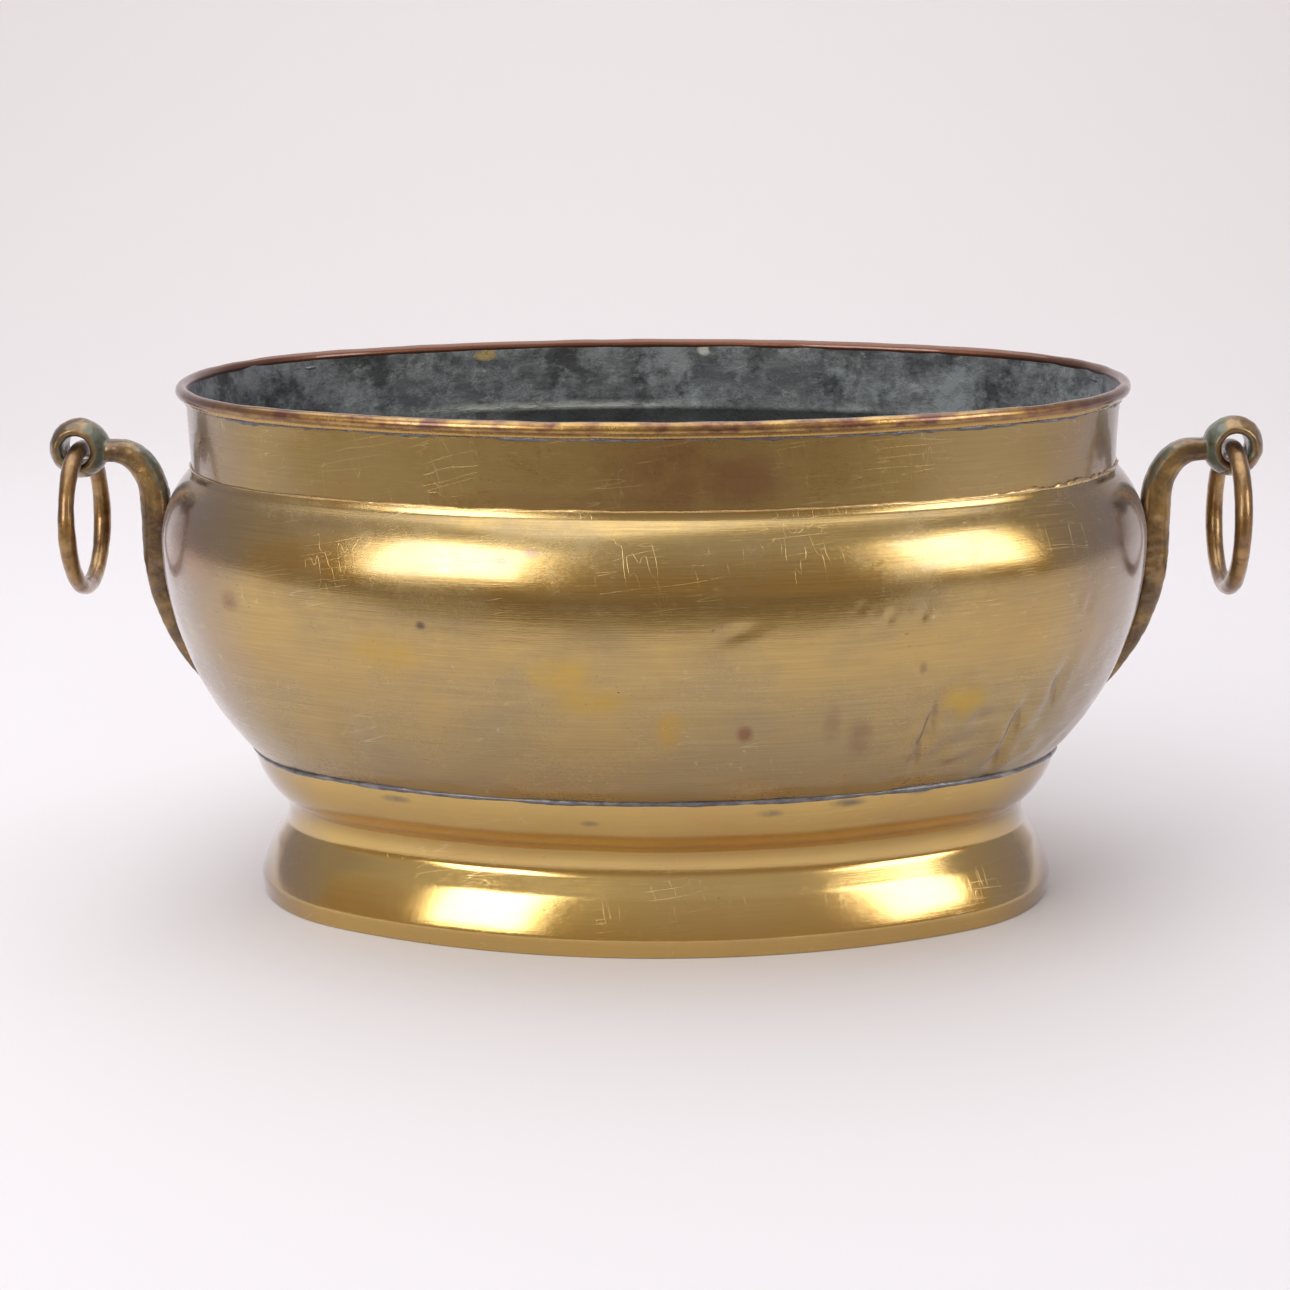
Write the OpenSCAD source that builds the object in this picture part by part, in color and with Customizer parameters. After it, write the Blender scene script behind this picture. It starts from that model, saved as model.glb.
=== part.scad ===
// Oval brass planter pot on a flared foot, with two cast handles and hanging rings.
// X runs along the long side, Y from front to back, Z up. The origin is the middle of the
// foot, on the surface that the pot stands on. All sizes are millimetres.
//
// The plan is a four-centred oval. Every round is an offset of the same oval, so one
// profile gives the whole pot: its first number is half the pot's length at that height.

/* [Plan] */
// Half length of the pot at the outside of the rim
rim_half = 250; // [246:1:254]
// Radius of the oval's round ends at the rim
end_r = 125; // [120:1:130]

/* [Sheet] */
// Thickness of the brass sheet
sheet = 1.2; // [0.8:0.1:1.6]

/* [Rim] */
// Height of the rim's top edge above the floor
pot_h = 279; // [270:1:290]
// Outer radius of the rolled rim
roll_r = 3.4; // [3:0.1:4]
// Height of the lip under the roll
lip_h = 5.1; // [4.4:0.1:6]

/* [Belly] */
// Half length at the widest line of the belly
belly_half = 261.5; // [258:0.5:265]
// Height of the belly's widest line
belly_z = 194; // [188:1:198]
// Radius of the shoulder above that line
shoulder_r = 54; // [50:1:60]
// Radius of the side below that line
side_r = 165; // [155:1:180]
// Height of the vertical neck that laps over the collar
neck_h = 3; // [2:0.5:5]
// Height of the underside of the belly
belly_floor = 70; // [68:0.5:72]
// Radius of the corner between side and underside
corner_r = 12; // [8:1:14]
// Width of the flange that carries the floor plate
flange_w = 12; // [8:1:20]
// Thickness of the floor plate
floor_t = 1.5; // [1:0.1:2]

/* [Collar] */
// How far the collar leans out between neck and rim
collar_lean = 1.1; // [0:0.1:2]
// Depth of collar below the neck's top edge
collar_lap = 6; // [4:0.5:9]

/* [Foot] */
// Half length of the foot where it meets the belly
foot_top_half = 218.5; // [216:0.5:220]
// Half length at the waist of the foot
foot_waist = 201; // [199:0.5:203]
// Half length at the widest line of the foot
foot_half = 217.5; // [215:0.5:220]
// Height of the plain band at the bottom of the foot
band_h = 9; // [6:0.5:10]

/* [Handles] */
// Distance from the middle of the pot to the middle of the eye
eye_x = 306; // [304:0.5:309]
// Height of the middle of the eye
eye_z = 241; // [239:0.5:243]
// Radius of the round knob that holds the eye
knob_r = 16; // [15:0.1:17]
// Half depth of the knob, front to back
knob_half = 11.5; // [10.5:0.1:12]
// Radius of the eye
eye_r = 7.6; // [7.4:0.1:8]
// Rounding of the eye's mouths
mouth_r = 2.5; // [2.2:0.1:3]
// Width of the handle bar, front to back
bar_w = 15; // [12:0.5:18]
// Width of the handle bar at its lower tip
tip_w = 10; // [8:0.5:12]
// Height of the handle's lower tip
tip_z = 98; // [96:0.5:106]
// Thickness of the solder between handle and belly
solder_t = 0.4; // [0.3:0.1:0.6]

/* [Rings] */
// Radius of the middle line of the hanging ring
ring_r = 37; // [35:0.5:38]
// Radius of the ring's round stock
ring_stock = 4.7; // [4.2:0.1:4.8]
// How far the stock hangs below the middle of the eye
ring_drop = 1; // [0.5:0.1:1.2]

/* [Hidden] */
$fn = 96;

brass = [0.74, 0.61, 0.33];
polished = [0.80, 0.66, 0.34];
reddish = [0.62, 0.45, 0.28];
cast = [0.55, 0.44, 0.26];
lead = [0.52, 0.53, 0.55];

// The oval: ends centred at x = +-end_c, long sides at y = -+side_c. Ends and sides meet
// on the line through two centres. Its slope is that of a right triangle with whole sides,
// so every centre is a round number.
rise = 15;
run = 8;
slant = 17;
end_c = rim_half - end_r;
side_c = end_c * rise / run;
narrowing = end_c + side_c - end_c * slant / run;
side_shift = side_c - narrowing;
sweep = 64;
wedge_scale = 40;
reach_x = end_c + run * wedge_scale;
reach_y = rise * wedge_scale;
reach = 2 * rim_half;

arc_steps = 9;
foot_steps = 6;
corner_steps = 4;
crease_steps = 2;
round_steps = 20;
overlap = 1;

// Belly
neck_out = 0.5;
neck_a = rim_half - 2 * roll_r + sheet + neck_out;
shoulder_cx = belly_half - shoulder_r;
shoulder_angle = acos((neck_a - shoulder_cx) / shoulder_r);
neck_z = belly_z + shoulder_r * sin(shoulder_angle);
neck_top = neck_z + neck_h;
side_cx = belly_half - side_r;
corner_angle = asin((belly_z - belly_floor - corner_r) / (side_r - corner_r));
corner_cx = side_cx + (side_r - corner_r) * cos(corner_angle);
flange_a = corner_cx - flange_w;
floor_gap = 1;

// Collar and rim
roll_z = pot_h - roll_r;
roll_a = rim_half - roll_r;
wire_r = roll_r - sheet;
lip_t = 1.6;
lip_z = roll_z - lip_h;
collar_a = neck_a - sheet;
collar_mid = collar_a - sheet / 2;
bead_w = 1.3;
bead_h = 2 * bead_w;

// Foot, from the belly down: a slow round, a tight hollow at the waist that flares out, a
// crease, then a nearly straight skirt that ends above the plain band. The skirt's radius
// brings it to the band's top edge.
foot_meet_z = belly_z - sqrt(pow(side_r, 2) - pow(foot_top_half - side_cx, 2));
upper_r = 48.9;
upper_start = 8;
upper_end = 45;
upper_cx = foot_top_half - upper_r * cos(upper_start);
upper_z = foot_meet_z + upper_r * sin(upper_start);
upper_end_x = upper_cx + upper_r * cos(upper_end);
waist_r = (upper_end_x - foot_waist) / (1 - cos(upper_end));
waist_z = upper_z - (upper_r + waist_r) * sin(upper_end);
flare_r = 22;
flare_end = 48;
crease_r = 2.5;
crease_x = foot_waist + flare_r - (flare_r + crease_r) * cos(flare_end);
crease_z = waist_z - (flare_r + crease_r) * sin(flare_end);
skirt_start = 29;
skirt_top_x = crease_x + crease_r * cos(skirt_start);
skirt_top_z = crease_z + crease_r * sin(skirt_start);
skirt_lean = atan2(foot_half - skirt_top_x, skirt_top_z - band_h);
skirt_end = 2 * skirt_lean - skirt_start;
skirt_r = (foot_half - skirt_top_x) / (cos(skirt_end) - cos(skirt_start));
skirt_cx = foot_half - skirt_r * cos(skirt_end);
skirt_z = band_h - skirt_r * sin(skirt_end);
band_in = 0.7;
hem_w = 1.2;
solder_bead = 2;

// Handle
neck_arc_w = 25.5;
neck_arc_h = 34.5;
neck_arc_in = 21.5;
neck_arc_drop = 30;
neck_arc_x = eye_x - neck_arc_in;
neck_arc_z = eye_z - neck_arc_drop;
hollow_w = 14;
hollow_h = 19;
hollow_in = 17;
hollow_drop = 26.5;
hollow_x = eye_x - hollow_in;
hollow_z = eye_z - hollow_drop;
bar_face = hollow_x - hollow_w;
bar_bend_drop = 9;
bar_bend_z = belly_z - bar_bend_drop;
bar_bend_r = 105;
tip_angle = asin((bar_bend_z - tip_z) / bar_bend_r);
seat_angle = 12;
front_depth = 40;
front_x = belly_half - front_depth;
pad_margin = 1.2;
pad_rise = 22;
pad_top = belly_z + pad_rise;
rivet_r = 2.5;
rivet_top_r = 2.5;
rivet_head_r = 5;
rivet_head_h = 2.4;
rivet_sink_r = 4;
rivet_sink_h = 1.8;
rivet_angles = [1, 19];
rivet_clear = 0.4;
ring_z = eye_z - ring_drop - ring_r;

// Points on an arc about [x, z], from angle a0 to a1. first = 1 leaves out its first point.
function arc(x, z, r, a0, a1, n = arc_steps, first = 0) =
  [for (i = [first:n]) let (a = a0 + (a1 - a0) * i / n) [x + r * cos(a), z + r * sin(a)]];

// Upper left quarter of an ellipse about [x, z], w wide and h high, from its top down.
function quarter(x, z, w, h) =
  [for (i = [0:arc_steps]) let (a = 90 + 90 * i / arc_steps) [x + w * cos(a), z + h * sin(a)]];

// Belly's outline from neck to flange, moved out by d.
function belly_line(d) = concat(
  [[neck_a + d, neck_top], [neck_a + d, neck_z]],
  arc(shoulder_cx, belly_z, shoulder_r + d, shoulder_angle, 0, arc_steps, 1),
  arc(side_cx, belly_z, side_r + d, 0, -corner_angle, arc_steps, 1),
  arc(corner_cx, belly_floor + corner_r, corner_r + d, -corner_angle, -90, corner_steps, 1),
  [[flange_a, belly_floor - d]]
);

// Foot's outline from the belly to the floor, moved out by d.
function foot_line(d) = concat(
  [[foot_top_half + d, foot_meet_z + sheet]],
  arc(upper_cx, upper_z, upper_r + d, -upper_start, -upper_end, foot_steps),
  arc(foot_waist + waist_r, waist_z, waist_r - d, 180 - upper_end, 180, corner_steps, 1),
  arc(foot_waist + flare_r, waist_z, flare_r - d, 180, 180 + flare_end, foot_steps, 1),
  arc(crease_x, crease_z, crease_r + d, flare_end, skirt_start, crease_steps, 1),
  arc(skirt_cx, skirt_z, skirt_r + d, skirt_start, skirt_end, foot_steps, 1),
  [[foot_half - band_in + d, 0]]
);

function flipped(points) = [for (i = [len(points) - 1:-1:0]) points[i]];

// Distance from the belly to the handle's outer face, along the belly's normal at angle a.
function bar_depth(a) =
  let (dx = side_cx + side_r * cos(a) - (bar_face - bar_bend_r))
  let (dz = belly_z - side_r * sin(a) - bar_bend_z)
  let (b = dx * cos(a) - dz * sin(a))
  sqrt(b * b + bar_bend_r * bar_bend_r - dx * dx - dz * dz) - b;

// Sweeps a profile, [half length, height], round the oval: two ends, then two long sides.
module around() {
  for (m = [0, 1]) {
    mirror([m, 0, 0]) end_sector() children();
    mirror([0, m, 0]) intersection() {
      translate([0, -side_c, 0]) rotate_extrude(start = 90 - sweep / 2, angle = sweep)
        translate([side_shift, 0]) children();
      wedge([0, -side_c], [[reach_x, reach_y], [-reach_x, reach_y]]);
    }
  }
}

// The oval's right end only.
module end_sector() {
  intersection() {
    translate([end_c, 0, 0]) rotate_extrude(start = -sweep, angle = 2 * sweep)
      translate([-end_c, 0]) children();
    wedge([end_c, 0], [[reach_x, -reach_y], [reach_x, reach_y]]);
  }
}

// A tall three-cornered block that trims a sweep where ends and sides meet.
module wedge(tip, base) {
  translate([0, 0, -overlap]) linear_extrude(pot_h + 2 * overlap) polygon(concat([tip], base));
}

// The oval itself, for a half length a.
module oval(a) {
  for (m = [0, 1]) {
    mirror([m, 0]) intersection() {
      translate([end_c, 0]) circle(r = a - end_c);
      polygon([[end_c, 0], [reach_x, -reach_y], [reach_x, reach_y]]);
    }
    mirror([0, m]) intersection() {
      translate([0, -side_c]) circle(r = a + side_shift);
      polygon([[-end_c, 0], [end_c, 0], [reach_x, reach_y], [-reach_x, reach_y]]);
    }
  }
}

// A round of radius r about [a, z] in a profile, as straight facets.
module round_at(a, z, r) {
  polygon(arc(a, z, r, 0, 360 - 360 / round_steps, round_steps - 1));
}

module belly_profile() {
  polygon(concat(belly_line(0), flipped(belly_line(-sheet))));
}

// Everything inside the belly's outline, moved out by d.
module belly_fill(d) {
  polygon(concat(belly_line(d), [[flange_a, neck_top]]));
}

module foot_profile() {
  difference() {
    union() {
      polygon(concat(foot_line(0), flipped(foot_line(-sheet))));
      polygon([
        [foot_half - sheet - hem_w, 0], [foot_half - band_in - sheet / 2, 0],
        [foot_half - sheet / 2, band_h - hem_w], [foot_half - sheet - hem_w, band_h - 2 * hem_w]
      ]);
    }
    belly_fill(0);
  }
}

module collar_profile() {
  difference() {
    polygon([
      [collar_a - sheet, neck_top - collar_lap], [collar_a, neck_top - collar_lap],
      [collar_a, neck_top], [collar_a + collar_lean, roll_z],
      [collar_a + collar_lean - sheet, roll_z], [collar_a - sheet, neck_top]
    ]);
    round_at(roll_a, roll_z, roll_r);
  }
}

module rim_profile() {
  difference() {
    union() {
      round_at(roll_a, roll_z, roll_r);
      translate([collar_a, lip_z]) square([lip_t + collar_lean, lip_h]);
    }
    round_at(roll_a, roll_z, wire_r);
    collar_profile();
    translate([collar_a - sheet, lip_z - overlap]) square([sheet, lip_h]);
  }
}

module belly() {
  color(brass) difference() {
    around() belly_profile();
    for (m = [0, 1]) mirror([m, 0, 0]) for (a = rivet_angles) rivet_shank(a, rivet_r);
  }
}

module floor_plate() {
  color(brass) translate([0, 0, belly_floor + sheet])
    linear_extrude(floor_t) oval(corner_cx - floor_gap);
}

module collar() {
  color(brass) around() collar_profile();
}

// Fillet of hard solder on the lapped edge of the neck.
module collar_braze() {
  color(reddish) around() difference() {
    polygon([[collar_mid, neck_top], [neck_a, neck_top], [collar_mid, neck_top + bead_h]]);
    collar_profile();
  }
}

module rim_roll() {
  color(reddish) around() rim_profile();
}

module rim_wire() {
  color(cast) around() round_at(roll_a, roll_z, wire_r);
}

module rim_solder() {
  color(lead) around() difference() {
    polygon([
      [collar_a, lip_z], [collar_a + collar_lean + bead_w, lip_z], [collar_a, lip_z - bead_h]
    ]);
    collar_profile();
  }
}

module foot() {
  color(polished) around() foot_profile();
}

module foot_solder() {
  color(lead) around() difference() {
    round_at(foot_top_half, foot_meet_z, solder_bead);
    belly_fill(0);
    foot_profile();
    translate([foot_top_half - reach, foot_meet_z - reach / 2]) square([reach, reach]);
  }
}

// The middle of the belly's right end as a full solid, moved out by d, to seat the handle.
module belly_end(d) {
  translate([end_c, 0, 0]) rotate_extrude(start = -seat_angle, angle = 2 * seat_angle)
    translate([-end_c, 0]) belly_fill(d);
}

// Side view of the bar, from the eye over the neck and down the belly.
module bar_outline() {
  rotate([90, 0, 0]) linear_extrude(bar_w, center = true) polygon(concat(
    [[eye_x - eye_r, neck_arc_z + neck_arc_h]],
    quarter(neck_arc_x, neck_arc_z, neck_arc_w, neck_arc_h),
    [[neck_arc_x - neck_arc_w, belly_z], [side_cx + (side_r - sheet) * cos(tip_angle), tip_z]],
    arc(bar_face - bar_bend_r, bar_bend_z, bar_bend_r, -tip_angle, 0),
    flipped(quarter(hollow_x, hollow_z, hollow_w, hollow_h)),
    [[eye_x - eye_r, hollow_z + hollow_h]]
  ));
}

// Front view of the bar up to height top, narrowing to a round tip, widened by m.
module bar_front(m, top) {
  translate([front_x, 0, 0]) rotate([90, 0, 90]) linear_extrude(eye_x - front_x) union() {
    polygon([
      [-bar_w / 2 - m, top], [-bar_w / 2 - m, bar_bend_z],
      [-tip_w / 2 - m, tip_z + tip_w / 2], [tip_w / 2 + m, tip_z + tip_w / 2],
      [bar_w / 2 + m, bar_bend_z], [bar_w / 2 + m, top]
    ]);
    translate([0, tip_z + tip_w / 2]) circle(r = tip_w / 2 + m);
  }
}

// Round knob with flattened faces, about the Y axis.
module knob() {
  rotate([90, 0, 0]) rotate_extrude() intersection() {
    circle(r = knob_r);
    translate([0, -knob_half]) square([knob_r, 2 * knob_half]);
  }
}

// The hole through the knob, with rounded mouths.
module eye_hole() {
  rotate([90, 0, 0]) {
    cylinder(r = eye_r, h = 2 * knob_half + 2 * overlap, center = true);
    for (m = [0, 1]) mirror([0, 0, m]) rotate_extrude() difference() {
      translate([0, knob_half - mouth_r]) square([eye_r + mouth_r, mouth_r + overlap]);
      translate([eye_r + mouth_r, knob_half - mouth_r]) circle(r = mouth_r);
    }
  }
}

// Puts its children on the belly's outer face at angle a below the widest line, Z outward.
module on_belly(a) {
  translate([side_cx, 0, belly_z]) rotate([0, a, 0]) translate([side_r, 0, 0])
    rotate([0, 90, 0]) children();
}

module rivet_shank(a, r) {
  on_belly(a) translate([0, 0, -sheet - overlap]) cylinder(r = r, h = bar_depth(a) + sheet + overlap);
  on_belly(a) translate([0, 0, bar_depth(a) - rivet_sink_h])
    cylinder(r1 = r, r2 = rivet_sink_r, h = rivet_sink_h);
}

module handle() {
  difference() {
    union() {
      intersection() {
        bar_outline();
        bar_front(0, pot_h);
      }
      translate([eye_x, 0, eye_z]) knob();
    }
    belly_end(solder_t);
    translate([eye_x, 0, eye_z]) eye_hole();
    for (a = rivet_angles) rivet_shank(a, rivet_r);
  }
}

module handle_solder() {
  difference() {
    intersection() {
      belly_end(solder_t);
      bar_front(pad_margin, pad_top);
    }
    belly_end(0);
    for (a = rivet_angles) rivet_shank(a, rivet_r);
  }
}

module handle_rivets() {
  for (a = rivet_angles) {
    rivet_shank(a, rivet_r);
    on_belly(a) translate([0, 0, -sheet - rivet_clear - rivet_head_h])
      cylinder(r1 = rivet_top_r, r2 = rivet_head_r, h = rivet_head_h);
  }
}

// Hangs in the eye with its plane square to the pot's long side.
module ring() {
  translate([eye_x, 0, ring_z]) rotate([0, 90, 0])
    rotate_extrude() translate([ring_r, 0]) circle(r = ring_stock);
}

module left_handle() {
  color(cast) mirror([1, 0, 0]) handle();
}

module left_handle_solder() {
  color(lead) mirror([1, 0, 0]) handle_solder();
}

module left_handle_rivets() {
  color(cast) mirror([1, 0, 0]) handle_rivets();
}

module left_ring() {
  color(cast) mirror([1, 0, 0]) ring();
}

module right_handle() {
  color(cast) handle();
}

module right_handle_solder() {
  color(lead) handle_solder();
}

module right_handle_rivets() {
  color(cast) handle_rivets();
}

module right_ring() {
  color(cast) ring();
}

belly();
floor_plate();
collar();
collar_braze();
rim_roll();
rim_wire();
rim_solder();
foot();
foot_solder();
left_handle();
left_handle_solder();
left_handle_rivets();
left_ring();
right_handle();
right_handle_solder();
right_handle_rivets();
right_ring();
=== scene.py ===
# Oval brass planter pot on a flared foot, with cast handles and hanging rings.
# Shapes are worked out in millimetres and put into the meshes in metres.
import math

import bmesh
import bpy
import numpy as np
from mathutils import Matrix, Vector


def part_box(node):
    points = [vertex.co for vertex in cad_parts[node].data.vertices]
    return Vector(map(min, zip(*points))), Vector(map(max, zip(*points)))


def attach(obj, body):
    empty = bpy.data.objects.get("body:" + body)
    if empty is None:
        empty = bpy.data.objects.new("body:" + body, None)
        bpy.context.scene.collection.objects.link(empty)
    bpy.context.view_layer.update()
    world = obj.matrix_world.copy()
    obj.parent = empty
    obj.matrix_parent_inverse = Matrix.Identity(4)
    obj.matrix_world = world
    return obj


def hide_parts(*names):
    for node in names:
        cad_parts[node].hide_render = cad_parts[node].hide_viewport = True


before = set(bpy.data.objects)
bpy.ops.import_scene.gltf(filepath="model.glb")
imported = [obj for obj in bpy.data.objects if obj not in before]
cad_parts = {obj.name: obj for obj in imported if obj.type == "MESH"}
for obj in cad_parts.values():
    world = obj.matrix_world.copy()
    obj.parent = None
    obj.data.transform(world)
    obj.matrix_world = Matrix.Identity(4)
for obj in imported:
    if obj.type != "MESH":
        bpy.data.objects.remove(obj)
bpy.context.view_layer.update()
mm = 0.001
print("frame loaded:", len(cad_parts), "nodes")


def halfLength(node):
    # Half of a node's length along X, in millimetres
    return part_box(node)[1].x / mm


def topOf(node):
    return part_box(node)[1].z / mm


plan = {
    "rimHalf": halfLength("rim_roll"),
    "rimDepth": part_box("rim_roll")[1].y / mm,
    "rise": 15, "run": 8, "slant": 17,     # right triangle on the line through two arc centres
    "blend": 7.0,                          # degrees over which one arc passes into the next
    "columns": 600,
}


def ovalPlan(values, columns):
    # Four-centred oval as a support function: the distance from the middle to the tangent with
    # normal angle t is a + h(t), with h = end (|cos t| - 1) on the ends and
    # side - narrowing - side |sin t| on the sides. A point of the oval is (a + h) n + h' n turned
    # a quarter. h is averaged over a few degrees, so the arcs run into each other, and t is
    # spaced evenly along the line.
    narrowing = values["rimHalf"] - values["rimDepth"]
    end = narrowing / (1 + values["rise"] / values["run"] - values["slant"] / values["run"])
    side = end * values["rise"] / values["run"]
    fine = 7200
    t = np.arange(fine) * 2 * np.pi / fine
    ends = end * (np.abs(np.cos(t)) - 1)
    sides = side - narrowing - side * np.abs(np.sin(t))
    steep = np.abs(np.sin(t)) * values["run"] > np.abs(np.cos(t)) * values["rise"]
    h = np.where(steep, sides, ends)
    reach = int(values["blend"] / 360 * fine)
    kernel = np.hanning(2 * reach + 1)
    kernel /= kernel.sum()
    h = np.convolve(np.concatenate([h[-reach:], h, h[:reach]]), kernel, "valid")
    step = 2 * np.pi / fine
    slope = (np.roll(h, -1) - np.roll(h, 1)) / (2 * step)
    bend = (np.roll(h, -1) - 2 * h + np.roll(h, 1)) / step**2
    length = np.concatenate([[0], np.cumsum(values["rimHalf"] + h + bend)])
    places = np.arange(columns) * length[-1] / columns
    t = np.interp(places, length, np.arange(fine + 1) * step)
    h = np.interp(t, np.arange(fine) * step, h, period=2 * np.pi)
    slope = np.interp(t, np.arange(fine) * step, slope, period=2 * np.pi)
    normal = np.stack([np.cos(t), np.sin(t)], -1)
    track = h[:, None] * normal + slope[:, None] * np.stack([-np.sin(t), np.cos(t)], -1)
    return normal, track, end


planNormal, planTrack, endCentre = ovalPlan(plan, plan["columns"])


def arcLine(x, z, r, start, stop, count=40):
    # Points x + r cos a, z + r sin a, for angles a in degrees from start to stop
    a = np.radians(np.linspace(start, stop, count))
    return np.stack([x + r * np.cos(a), z + r * np.sin(a)], -1)


def evenLine(points, step, soften=0.0):
    # The same line with its points step apart, corners rounded by averaging over soften
    points = np.asarray(points, float)
    gap = np.hypot(*np.diff(points, axis=0).T)
    keep = np.concatenate([[True], gap > 1e-6])
    points = points[keep]
    along = np.concatenate([[0], np.cumsum(np.hypot(*np.diff(points, axis=0).T))])
    if soften:
        fine = np.linspace(0, along[-1], max(8, int(along[-1] / soften * 6)))
        line = np.stack([np.interp(fine, along, points[:, k]) for k in (0, 1)], -1)
        weights = np.hanning(15)[1:-1]
        weights /= weights.sum()
        pad = len(weights) // 2
        before = 2 * line[0] - line[pad:0:-1]
        after = 2 * line[-1] - line[-2:-2 - pad:-1]
        long = np.concatenate([before, line, after])
        points = np.stack([np.convolve(long[:, k], weights, "valid") for k in (0, 1)], -1)
        along = np.concatenate([[0], np.cumsum(np.hypot(*np.diff(points, axis=0).T))])
    places = np.linspace(0, along[-1], max(4, int(round(along[-1] / step)) + 1))
    return np.stack([np.interp(places, along, points[:, k]) for k in (0, 1)], -1)


def lineNormal(line):
    # Unit normal on the right of the direction of travel
    run = np.gradient(line, axis=0)
    run /= np.hypot(run[:, 0], run[:, 1])[:, None]
    return np.stack([run[:, 1], -run[:, 0]], -1)


def wallLoop(line, sheet, step, soften=0.6, innerEvery=2):
    # Closed outline of a bent sheet: its outer line, a half-round edge, the same line one sheet
    # thickness in, and a half-round edge back. Also the sheet's own normal at each point, so
    # that both faces of a dent move together, and 1 where the point is on the inner face.
    # The line runs upward, with the outer face on its right.
    outer = evenLine(line, step, soften)
    normal = lineNormal(outer)
    inner = outer - sheet * normal
    turn = np.radians(np.linspace(0, 180, 7))[1:-1, None]

    def edge(point, n, forward):
        return point - n * sheet / 2 + sheet / 2 * (np.cos(turn) * n + np.sin(turn) * forward)

    last = np.array([-normal[-1, 1], normal[-1, 0]])
    first = np.array([normal[0, 1], -normal[0, 0]])
    topEdge = edge(outer[-1], normal[-1], last)
    lowEdge = edge(outer[0], normal[0], first)[::-1]
    inside = slice(None, None, -innerEvery)
    parts = [outer, topEdge, inner[inside], lowEdge]
    lean = [normal, np.repeat(normal[-1:], 5, 0), normal[inside], np.repeat(normal[:1], 5, 0)]
    marks = [np.zeros(len(outer)), np.zeros(5), np.ones(len(inner[inside])), np.zeros(5)]
    return np.concatenate(parts), np.concatenate(lean), np.concatenate(marks)


def closedLoop(points, step, soften):
    # Even, rounded points on a closed outline, with its outward normals
    points = np.asarray(points, float)
    around = np.concatenate([points, points, points, points[:1]])
    line = evenLine(around, step, soften)
    third = (len(line) - 1) // 3
    line = line[third:2 * third]
    normal = np.roll(line, -1, 0) - np.roll(line, 1, 0)
    normal /= np.hypot(normal[:, 0], normal[:, 1])[:, None]
    return line, np.stack([normal[:, 1], -normal[:, 0]], -1), np.zeros(len(line))


def softWaves(points, size, seed, count=18):
    # Sum of cosines of 3-D position, each with its own direction, phase and length near size
    draw = np.random.default_rng(seed)
    way = draw.normal(size=(count, 3))
    way /= np.linalg.norm(way, axis=1)[:, None] * size * draw.uniform(0.75, 1.35, (count, 1))
    phase = draw.uniform(0, 2 * np.pi, count)
    return np.cos(2 * np.pi * points @ way.T + phase).sum(-1) / math.sqrt(count / 2)


def gridFaces(rows, columns, wrapRows, wrapColumns):
    # Four corners of each cell of a grid, joined round where it wraps
    i = np.arange(rows if wrapRows else rows - 1)[:, None]
    j = np.arange(columns if wrapColumns else columns - 1)[None, :]
    nextI, nextJ = (i + 1) % rows, (j + 1) % columns
    corners = [i * columns + j, i * columns + nextJ, nextI * columns + nextJ, nextI * columns + j]
    return np.stack([c + 0 * i + 0 * j for c in corners], -1).reshape(-1, 4)


def addPiece(name, points, faces, body, nodes=(), materialIndex=None, merge=False):
    # One object from points in millimetres and faces, turned so that its volume is positive
    points = np.ascontiguousarray(points.reshape(-1, 3)) * mm
    faces = np.asarray(faces)
    a, b, c, d = (points[faces[:, k]] for k in (0, 1, 2, 3 if faces.shape[1] > 3 else 2))
    volume = (np.cross(a, b) * c).sum() + (np.cross(a, c) * d).sum()
    if volume < 0:
        faces = faces[:, ::-1]
    mesh = bpy.data.meshes.new(name)
    mesh.from_pydata(points, [], faces)
    if materialIndex is not None:
        mesh.polygons.foreach_set("material_index", np.asarray(materialIndex, np.int32))
    if merge:
        work = bmesh.new()
        work.from_mesh(mesh)
        bmesh.ops.remove_doubles(work, verts=work.verts, dist=1e-6)
        bmesh.ops.dissolve_degenerate(work, edges=work.edges, dist=1e-7)
        work.to_mesh(mesh)
        work.free()
    mesh.shade_smooth()
    mesh.update()
    piece = bpy.data.objects.new(name, mesh)
    bpy.context.scene.collection.objects.link(piece)
    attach(piece, body)
    if nodes:
        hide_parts(*nodes)
    return piece


def sweepOval(name, loop, push, body, nodes):
    # A closed profile carried round the oval: point (a, z) goes to a n + track, height z, and
    # push(points, lean, mark) gives how far each point moves along the sheet's own normal
    line, lean, mark = loop
    rows, columns = len(line), len(planNormal)
    points = np.empty((rows, columns, 3))
    points[..., :2] = line[:, None, :1] * planNormal[None] + planTrack[None]
    points[..., 2] = line[:, 1:]
    way = np.empty_like(points)
    way[..., :2] = lean[:, None, :1] * planNormal[None]
    way[..., 2] = lean[:, 1:]
    points += way * push(points, mark)[..., None]
    faces = gridFaces(rows, columns, True, True)
    inner = np.repeat(((mark + np.roll(mark, -1)) > 1.5).astype(int), columns)
    return addPiece(name, points, faces, body, nodes, inner)


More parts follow.
